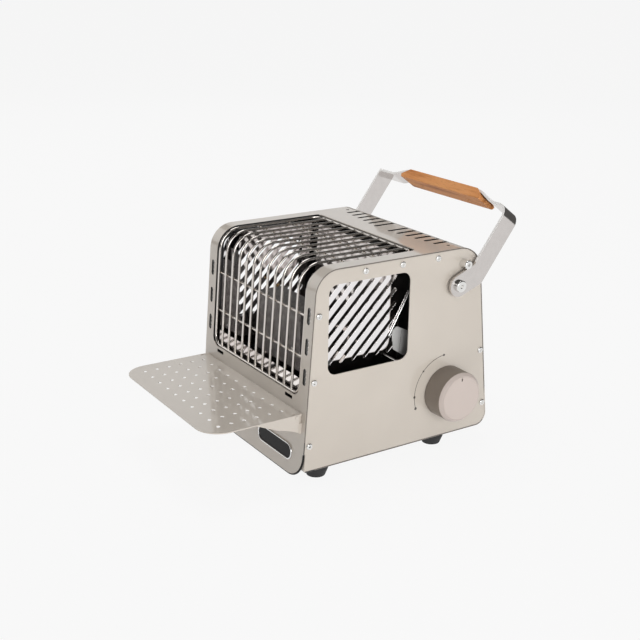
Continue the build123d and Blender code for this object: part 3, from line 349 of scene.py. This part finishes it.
# Black on the skirt's cut edge at its lower corners: the seal's lip and painted shade of the gap.
skirt_seal_and_shade = shell_enamel.inside(*SKIRT_CORNER) * shell_enamel.edge_on(1)
shell_enamel.surface(Base_Color=shell_enamel.mix(skirt_seal_and_shade, with_seam_shade, PAINTED_SHADE_BLACK))
print("shell enamel has", len(shell_enamel.tree.nodes), "nodes")

# %% [markdown]
# A generic scale is printed round the knob: a quarter of a ring with a dot at its start, a short
# mark, and two small arrowheads near its end. Polar coordinates about the knob's axis turn all of
# it into comparisons of a radius and an angle.

# %% The printed scale
KNOB_AXIS = (0.0870, 0.0716)
SCALE_RADIUS = 0.0450
SCALE_START, SCALE_END = 95, 200
SCALE_LINE = 0.00036
SCALE_MARKS = ((95, 1.9, 0.0016), (138, 1.3, 0.0016), (180, 2.2, 0.0018), (199, 2.4, 0.0020))
SCALE_INK = srgb(70, 62, 57)

across = panel_enamel.axis(1) - KNOB_AXIS[0]
above = panel_enamel.axis(2) - KNOB_AXIS[1]
from_ring = abs(across.away(above) - SCALE_RADIUS)
angle = across.bearing(above) + 360 * (across.bearing(above) < 0)
marks = (from_ring < SCALE_LINE) * (angle > SCALE_START) * (angle < SCALE_END)
for mark_angle, half_span, half_height in SCALE_MARKS:
    past = abs(angle - mark_angle)
    taper = past * (half_height / half_span / 1.6)
    marks = marks.peak((past < half_span) * (from_ring < half_height - taper))
ink = marks * (panel_enamel.axis(0) > PANEL_INNER)
panel_enamel.surface(Base_Color=panel_enamel.mix(ink, panel_enamel.fed("Base Color"), SCALE_INK))
print("scale marks", len(SCALE_MARKS), "on a ring of", SCALE_RADIUS * 1000, "mm")

# %% [markdown]
# Bright metals: plated wire, mirror-polished plate, rolled strip and screws. Most are fully
# metallic; what tells them apart is how the surface was worked. Drawn wire has faint lines along
# it, a polished plate ripples slightly, and strip has a satin grain along its length.

# %% Bright metals
def shaded(colour, share):
    """The same colour, darkened to a share of its light."""
    return tuple(part * share for part in colour[:3]) + (1.0,)


def bright_metal(name, colour, rough, grain=(60, 60, 60), depth=0.000004, spread=0.08):
    metal = Finish(name)
    lines = metal.noise(14.0, 4.0, at=metal.stretched(*grain))
    smears = metal.noise(28.0, 3.0)
    metal.surface(
        Base_Color=metal.mix(lines, colour, shaded(colour, 0.86)), Metallic=1.0,
        Roughness=rough + spread * smears * lines, Normal=metal.bump(lines, depth, 0.4),
    )
    return metal


wire_chrome = bright_metal("wire_chrome_finish", srgb(222, 216, 210), 0.12)
mirror_steel = bright_metal(
    "mirror_steel_finish", srgb(246, 243, 243), 0.02, grain=(3, 3, 3), spread=0.03
)
strap_steel = bright_metal(
    "strap_steel_finish", srgb(214, 209, 206), 0.11, grain=(3, 9, 9), depth=0.000001, spread=0.03
)
screw_steel = bright_metal("screw_steel_finish", srgb(236, 235, 233), 0.05, grain=(30, 30, 30))
badge_chrome = bright_metal("badge_chrome_finish", srgb(232, 231, 230), 0.07, grain=(30, 30, 30))
chamber_steel = bright_metal(
    "chamber_steel_finish", srgb(222, 216, 212), 0.04, grain=(3, 6, 6), spread=0.05
)
galvanised = bright_metal(
    "galvanised_finish", srgb(150, 150, 148), 0.42, grain=(9, 9, 9), spread=0.3
)
zinc_plate = bright_metal(
    "zinc_plate_finish", srgb(232, 231, 229), 0.38, grain=(12, 12, 12), spread=0.1
)
zinc_plate.surface(Metallic=0.35)
print("metals and enamels so far", len(bpy.data.materials))

# %% [markdown]
# The handle strip's two long edges are coloured pale and dull, a painted highlight along them. The
# strip is wide across the arms, so one coordinate measured that way from the pivot finds both
# edges.

# %% The strap's edges, a painted highlight
HANDLE_PIVOT = (0.0940, 0.2012)
HANDLE_LEAN = math.radians(36.5)
STRAP_MIDDLE, STRAP_INNER_HALF, LUG_END = 0.0152, 0.0119, 0.034

behind = strap_steel.axis(1) - HANDLE_PIVOT[0]
over_pivot = strap_steel.axis(2) - HANDLE_PIVOT[1]
across_arm = behind * math.cos(HANDLE_LEAN) - over_pivot * math.sin(HANDLE_LEAN)
along_arm = behind * math.sin(HANDLE_LEAN) + over_pivot * math.cos(HANDLE_LEAN)
# A painted highlight: the edges are coloured pale, dull and barely metallic.
edge_highlight = (abs(across_arm - STRAP_MIDDLE) > STRAP_INNER_HALF) * (along_arm > LUG_END)
strap_steel.surface(
    Base_Color=strap_steel.mix(edge_highlight, strap_steel.fed("Base Color"), srgb(250, 248, 246)),
    Metallic=1 - 0.85 * edge_highlight, Roughness=strap_steel.fed("Roughness") + 0.3 * edge_highlight,
)
print("strap", round(2000 * STRAP_INNER_HALF, 1), "mm between its cut edges")

# %% [markdown]
# The gas train is brass, with a cast regulator. The burner is a ceramic plaque in an iron body,
# with a woven wire screen over it. The screen is far finer than any mesh should be, so two sets of
# diagonal sine waves stand for its wires, and the larger of the two at a place is the wire on top.

# %% Gas train and burner
gas_brass = bright_metal("gas_brass_finish", srgb(214, 180, 108), 0.22, grain=(20, 20, 20))
regulator_alloy = bright_metal(
    "regulator_alloy_finish", srgb(168, 168, 166), 0.5, grain=(40, 40, 40), depth=0.00003
)

burner_iron = Finish("burner_iron_finish")
scale_marks = burner_iron.noise(420.0, 5.0)
burner_iron.surface(
    Base_Color=burner_iron.ramp(scale_marks, (0.3, srgb(72, 70, 70)), (0.7, srgb(128, 125, 122))),
    Metallic=0.75, Roughness=0.40 + 0.3 * scale_marks,
    Normal=burner_iron.bump(scale_marks, 0.0001, 0.5),
)

WEAVE_PITCH = 0.0030
burner_screen = Finish("burner_screen_finish")
rising = (burner_screen.axis(0) + burner_screen.axis(2)) * (math.pi / WEAVE_PITCH)
falling = (burner_screen.axis(0) - burner_screen.axis(2)) * (math.pi / WEAVE_PITCH)
over = (rising * 0.5).sine() * (falling * 0.5).sine()
weave = (abs(rising.sine()) * (0.75 + 0.25 * over)).peak(abs(falling.sine()) * (0.75 - 0.25 * over))
soot = burner_screen.noise(160.0, 4.0)
burner_screen.surface(
    Base_Color=burner_screen.mix(
        burner_screen.ramp(weave, (0.45, 0.0), (0.85, 1.0)), srgb(28, 27, 27),
        burner_screen.ramp(soot, (0.35, srgb(172, 165, 164)), (0.65, srgb(240, 233, 231))),
    ),
    Metallic=0.4, Roughness=0.38 + 0.25 * soot,
    Normal=burner_screen.bump(weave + 0.3 * soot, 0.0006, 0.9),
)

burner_ceramic = Finish("burner_ceramic_finish")
pits = burner_ceramic.node(
    "ShaderNodeTexVoronoi", {}, {"Vector": burner_ceramic.place, "Scale": 620.0}
)
burner_ceramic.surface(
    Base_Color=burner_ceramic.ramp(pits, (0.12, srgb(70, 62, 56)), (0.3, srgb(196, 188, 176))),
    Roughness=0.85, Normal=burner_ceramic.bump(pits, 0.0002, 0.6),
)
print("screen wires every", WEAVE_PITCH * 1000, "mm")

# %% [markdown]
# The grip is oiled beech or a wood much like it: long pale and dark bands along the grain, short
# dark pores, and a finish of oil that hardly shines. Stretching the place along the grip before it
# meets the noise draws the noise out into grain.

# %% Oiled wood
grip_wood = Finish("grip_wood_finish")
bands = grip_wood.noise(1.6, 5.0, at=grip_wood.stretched(6, 70, 70), roughness=0.6)
pores = grip_wood.noise(14.0, 2.0, at=grip_wood.stretched(12, 160, 160))
wood = grip_wood.ramp(
    bands, (0.34, srgb(180, 108, 58)), (0.47, srgb(230, 158, 99)),
    (0.60, srgb(240, 172, 114)), (0.72, srgb(206, 134, 78)),
)
pore_mask = grip_wood.ramp(pores, (0.60, 0.0), (0.72, 0.55))
grip_wood.surface(
    Base_Color=grip_wood.mix(pore_mask, wood, srgb(142, 84, 48)),
    Roughness=0.42 + 0.16 * bands, Specular_IOR_Level=0.10,
    Normal=grip_wood.bump(bands - 0.6 * pores, 0.00008, 0.5),
)
print("wood has", len(grip_wood.tree.nodes), "nodes")

# %% [markdown]
# Plastics and rubber are dull and nearly uniform, so their detail is a fine moulded grain.

# %% Plastics, rubber and glaze
def moulded(name, colour, rough, grain=900.0, depth=0.00004, mottled=0.9):
    plastic = Finish(name)
    skin = plastic.noise(grain, 3.0)
    clouds = plastic.noise(30.0, 3.0)
    plastic.surface(
        Base_Color=plastic.mix(clouds, colour, shaded(colour, mottled)),
        Roughness=rough + 0.12 * skin, Normal=plastic.bump(skin, depth, 0.5),
    )
    return plastic


black_plastic = moulded("black_plastic_finish", srgb(34, 33, 33), 0.45)
seal_black = moulded("seal_black_finish", srgb(30, 30, 30), 0.60)
foot_rubber = moulded("foot_rubber_finish", srgb(40, 40, 41), 0.62, grain=500.0, depth=0.0001)
badge_dark = moulded("badge_dark_finish", srgb(21, 21, 22), 0.45, grain=1500.0)
badge_dark.surface(Specular_IOR_Level=0.25)
white_ceramic = moulded("white_ceramic_finish", srgb(232, 228, 220), 0.25)
print("finishes", len(bpy.data.materials))

# %% [markdown]
# The knob is moulded in a grey-brown plastic. Its chamfered rim is coloured paler as a painted
# highlight, and its face has a short dark tick at the bottom of a groove, so in both the depth
# along the knob's axis picks the colour.

# %% The knob's two plastics
CHAMFER_START = 0.1448
TICK_FLOOR = 0.1482
TICK_HALF = 0.0012

knob_plastic = moulded("knob_plastic_finish", srgb(142, 131, 121), 0.36)
# A painted highlight: the chamfer is coloured paler than the rest of the knob.
rim_highlight = knob_plastic.axis(0) > CHAMFER_START
knob_plastic.surface(
    Base_Color=knob_plastic.mix(rim_highlight, knob_plastic.fed("Base Color"), srgb(205, 192, 185))
)
knob_face = moulded("knob_face_finish", srgb(212, 199, 192), 0.40, mottled=0.98)
tick = (knob_face.axis(0) < TICK_FLOOR) * (abs(knob_face.axis(1) - KNOB_AXIS[0]) < TICK_HALF)
knob_face.surface(Base_Color=knob_face.mix(tick, knob_face.fed("Base Color"), srgb(70, 60, 55)))
print("knob rim from", CHAMFER_START, "tick below", TICK_FLOOR)

# %% [markdown]
# Each CAD node names the slot that it takes its finish from, so the finishes are handed out by
# slot. A few nodes share a slot but differ in their make, such as the case sheets, whose inner
# faces get black as painted shade.

# %% Finishes onto the frame
FINISHES = {
    "case_enamel": case_enamel, "tray_enamel": tray_enamel, "seal_black": seal_black,
    "wire_chrome": wire_chrome, "mirror_steel": mirror_steel, "chamber_steel": chamber_steel,
    "galvanised": galvanised, "burner_iron": burner_iron, "burner_ceramic": burner_ceramic,
    "gas_brass": gas_brass, "regulator_alloy": regulator_alloy, "screw_steel": screw_steel,
    "strap_steel": strap_steel, "grip_wood": grip_wood, "knob_plastic": knob_plastic,
    "knob_face": knob_face, "black_plastic": black_plastic, "white_ceramic": white_ceramic,
    "badge_chrome": badge_chrome, "badge_dark": badge_dark, "foot_rubber": foot_rubber,
}
SPECIAL = {
    "upper_shell": shell_enamel, "lower_shell": shell_enamel, "side_panel_right": panel_enamel,
    "side_panel_left": panel_enamel, "burner_mesh": burner_screen, "sensor_bracket": zinc_plate,
}
record = frame["record"]
slot_of = {part["node"]: part["material_slot"] for part in record["subparts"]}
body_of = {
    node: body for body, nodes in record["behaviour"]["bodies"].items() for node in nodes
}


def finish_for(node):
    return SPECIAL.get(node) or FINISHES[slot_of[node]]


for node, shape in frame["nodes"].items():
    for slot in shape.material_slots:
        slot.material = finish_for(node).material
print("finished nodes", len(frame["nodes"]))

# %% [markdown]
# Folded sheet is never knife-sharp: paint rounds its edges, and a rounded edge catches a thin line
# of light. A copy of the CAD shape is welded, its flat triangles are joined into whole faces, and
# a Bevel modifier rounds every edge sharper than the given angle. Weighted normals keep the large
# faces flat beside the small bevels.

# %% Soft edges
WELD_REACH = 0.000002
FLAT_ANGLE = math.radians(0.6)
SHARP_ANGLE = math.radians(35)


def only(piece):
    """Deselect everything, then select this piece and make it active."""
    bpy.ops.object.select_all(action="DESELECT")
    piece.select_set(True)
    bpy.context.view_layer.objects.active = piece


def apply_all(piece):
    only(piece)
    for modifier in list(piece.modifiers):
        bpy.ops.object.modifier_apply(modifier=modifier.name)


def settle(piece, node):
    """Give a finished piece the finish and the body of the node it stands for."""
    piece.data.materials.clear()
    piece.data.materials.append(finish_for(node).material)
    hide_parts(node)
    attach(piece, body_of[node])


def softened(node, width):
    piece = bpy.data.objects.new(node + "_soft", frame["nodes"][node].data.copy())
    bpy.context.scene.collection.objects.link(piece)
    only(piece)
    bpy.ops.mesh.customdata_custom_splitnormals_clear()
    bpy.ops.object.mode_set(mode="EDIT")
    bpy.ops.mesh.select_all(action="SELECT")
    bpy.ops.mesh.remove_doubles(threshold=WELD_REACH)
    bpy.ops.mesh.dissolve_limited(angle_limit=FLAT_ANGLE)
    bpy.ops.object.mode_set(mode="OBJECT")
    bevel = piece.modifiers.new("edges", "BEVEL")
    bevel.width = width
    bevel.segments = 2
    bevel.limit_method = "ANGLE"
    bevel.angle_limit = SHARP_ANGLE
    bevel.miter_outer = "MITER_ARC"
    even = piece.modifiers.new("even", "WEIGHTED_NORMAL")
    even.keep_sharp = False
    bpy.ops.object.shade_smooth()
    apply_all(piece)
    settle(piece, node)
    print(piece.name, len(piece.data.polygons), "faces")


SOFT_EDGES = {
    "upper_shell": 0.00035, "lower_shell": 0.00035, "side_panel_right": 0.00035,
    "side_panel_left": 0.00035, "tray": 0.0003, "rear_door": 0.00035, "handle_strap": 0.00015,
    "guard_plate_right": 0.0002, "guard_plate_left": 0.0002, "tray_hinge_ears": 0.0003,
    "knob": 0.0005, "feet": 0.0008, "badge_plate": 0.0002, "skirt_seal": 0.0002, "grip": 0.0011,
}
for node, width in SOFT_EDGES.items():
    softened(node, width)

# %% [markdown]
# The stage is a pale floor. It is lit like anything else, but the camera, and metal that mirrors
# it, see most of it as the plain pale background; the small rest keeps the heater's soft shadow.

# %% The stage
BACKGROUND = srgb(246, 246, 246)
FLOOR_SIZE = 24.0
GLOW_SHARE = 0.94
GLOW_STRENGTH = 1.04

bpy.ops.object.select_all(action="DESELECT")
bpy.ops.mesh.primitive_plane_add(size=FLOOR_SIZE, location=(0, 0, -0.0002))
floor = bpy.context.object
floor.name = "floor"
floor_paint = Finish("floor_paint")
floor_paint.surface(Base_Color=BACKGROUND, Roughness=1.0)
seen = 0.0
for ray in ("Is Camera Ray", "Is Glossy Ray", "Is Transmission Ray"):
    seen = floor_paint.node("ShaderNodeLightPath", out=ray) + seen
glow = floor_paint.node("ShaderNodeEmission", {}, {"Color": BACKGROUND, "Strength": GLOW_STRENGTH})
painted = Signal(floor_paint, floor_paint.shader.outputs[0])
blend = floor_paint.node(
    "ShaderNodeMixShader", {}, {0: seen * GLOW_SHARE, 1: painted, 2: glow}
)
floor_paint.feed(floor_paint.tree.nodes["Material Output"].inputs["Surface"], blend)
floor.data.materials.append(floor_paint.material)
print("floor", FLOOR_SIZE, "m across")

# %% [markdown]
# The world fills in the shadows. Plain surfaces get an even, soft light from it; mirror-like ones
# see a darker room, as they would between the lamps of a studio; and the camera sees only the pale
# background. Light Path tells these three kinds of ray apart.

# %% The world
AMBIENT = 0.27
MIRRORED = 0.12
SOFT_WHITE = srgb(255, 253, 250)

world = bpy.data.worlds.new("studio")
bpy.context.scene.world = world
world.use_nodes = True
sky = world.node_tree
sky.nodes.clear()


def sky_node(kind, sockets=None, out=0):
    made = sky.nodes.new(kind)
    for key, value in (sockets or {}).items():
        if isinstance(value, bpy.types.NodeSocket):
            sky.links.new(value, made.inputs[key])
        else:
            made.inputs[key].default_value = value
    return made.outputs[out]


camera_ray = sky_node("ShaderNodeLightPath", out="Is Camera Ray")
glossy_ray = camera_ray.node.outputs["Is Glossy Ray"]
pale = sky_node("ShaderNodeBackground", {"Color": BACKGROUND, "Strength": 1.0})
soft = sky_node("ShaderNodeBackground", {"Color": SOFT_WHITE, "Strength": AMBIENT})
dark = sky_node("ShaderNodeBackground", {"Color": SOFT_WHITE, "Strength": MIRRORED})
unseen = sky_node("ShaderNodeMixShader", {0: glossy_ray, 1: soft, 2: dark})
whole = sky_node("ShaderNodeMixShader", {0: camera_ray, 1: unseen, 2: pale})
sky.links.new(whole, sky.nodes.new("ShaderNodeOutputWorld").inputs["Surface"])
print("world", AMBIENT, "for plain surfaces,", MIRRORED, "in mirrors")

# %% [markdown]
# Five soft boxes light the heater. The key lights the side with the knob, and the box above lights
# the top. The other three are there for the metal: each stands where the grille, the guard plates
# or the handle mirrors it, because bright metal looks like what it mirrors.

# %% The lamps
def soft_box(name, place, aim, width, height, power):
    light = bpy.data.lights.new(name, "AREA")
    light.shape = "RECTANGLE"
    light.size, light.size_y = width, height
    light.energy = power
    holder = bpy.data.objects.new(name, light)
    bpy.context.scene.collection.objects.link(holder)
    holder.location = place
    holder.rotation_euler = (Vector(aim) - Vector(place)).to_track_quat("-Z", "Y").to_euler()


soft_box("key", (2.6, -0.35, 0.62), (0, 0, 0.12), 1.6, 1.1, 34)
soft_box("left", (-2.4, -1.4, 1.3), (0, 0, 0.12), 2.4, 1.5, 13)
soft_box("top", (-0.5, 0.2, 2.6), (0, 0, 0.1), 1.2, 1.2, 19)
soft_box("card", (-2.3, 1.5, 1.25), (0, 0, 0.2), 1.8, 1.2, 5)
soft_box("front", (2.3, -1.4, 1.0), (0, 0, 0.15), 1.5, 0.8, 4)
print("lamps", len(bpy.data.lights))
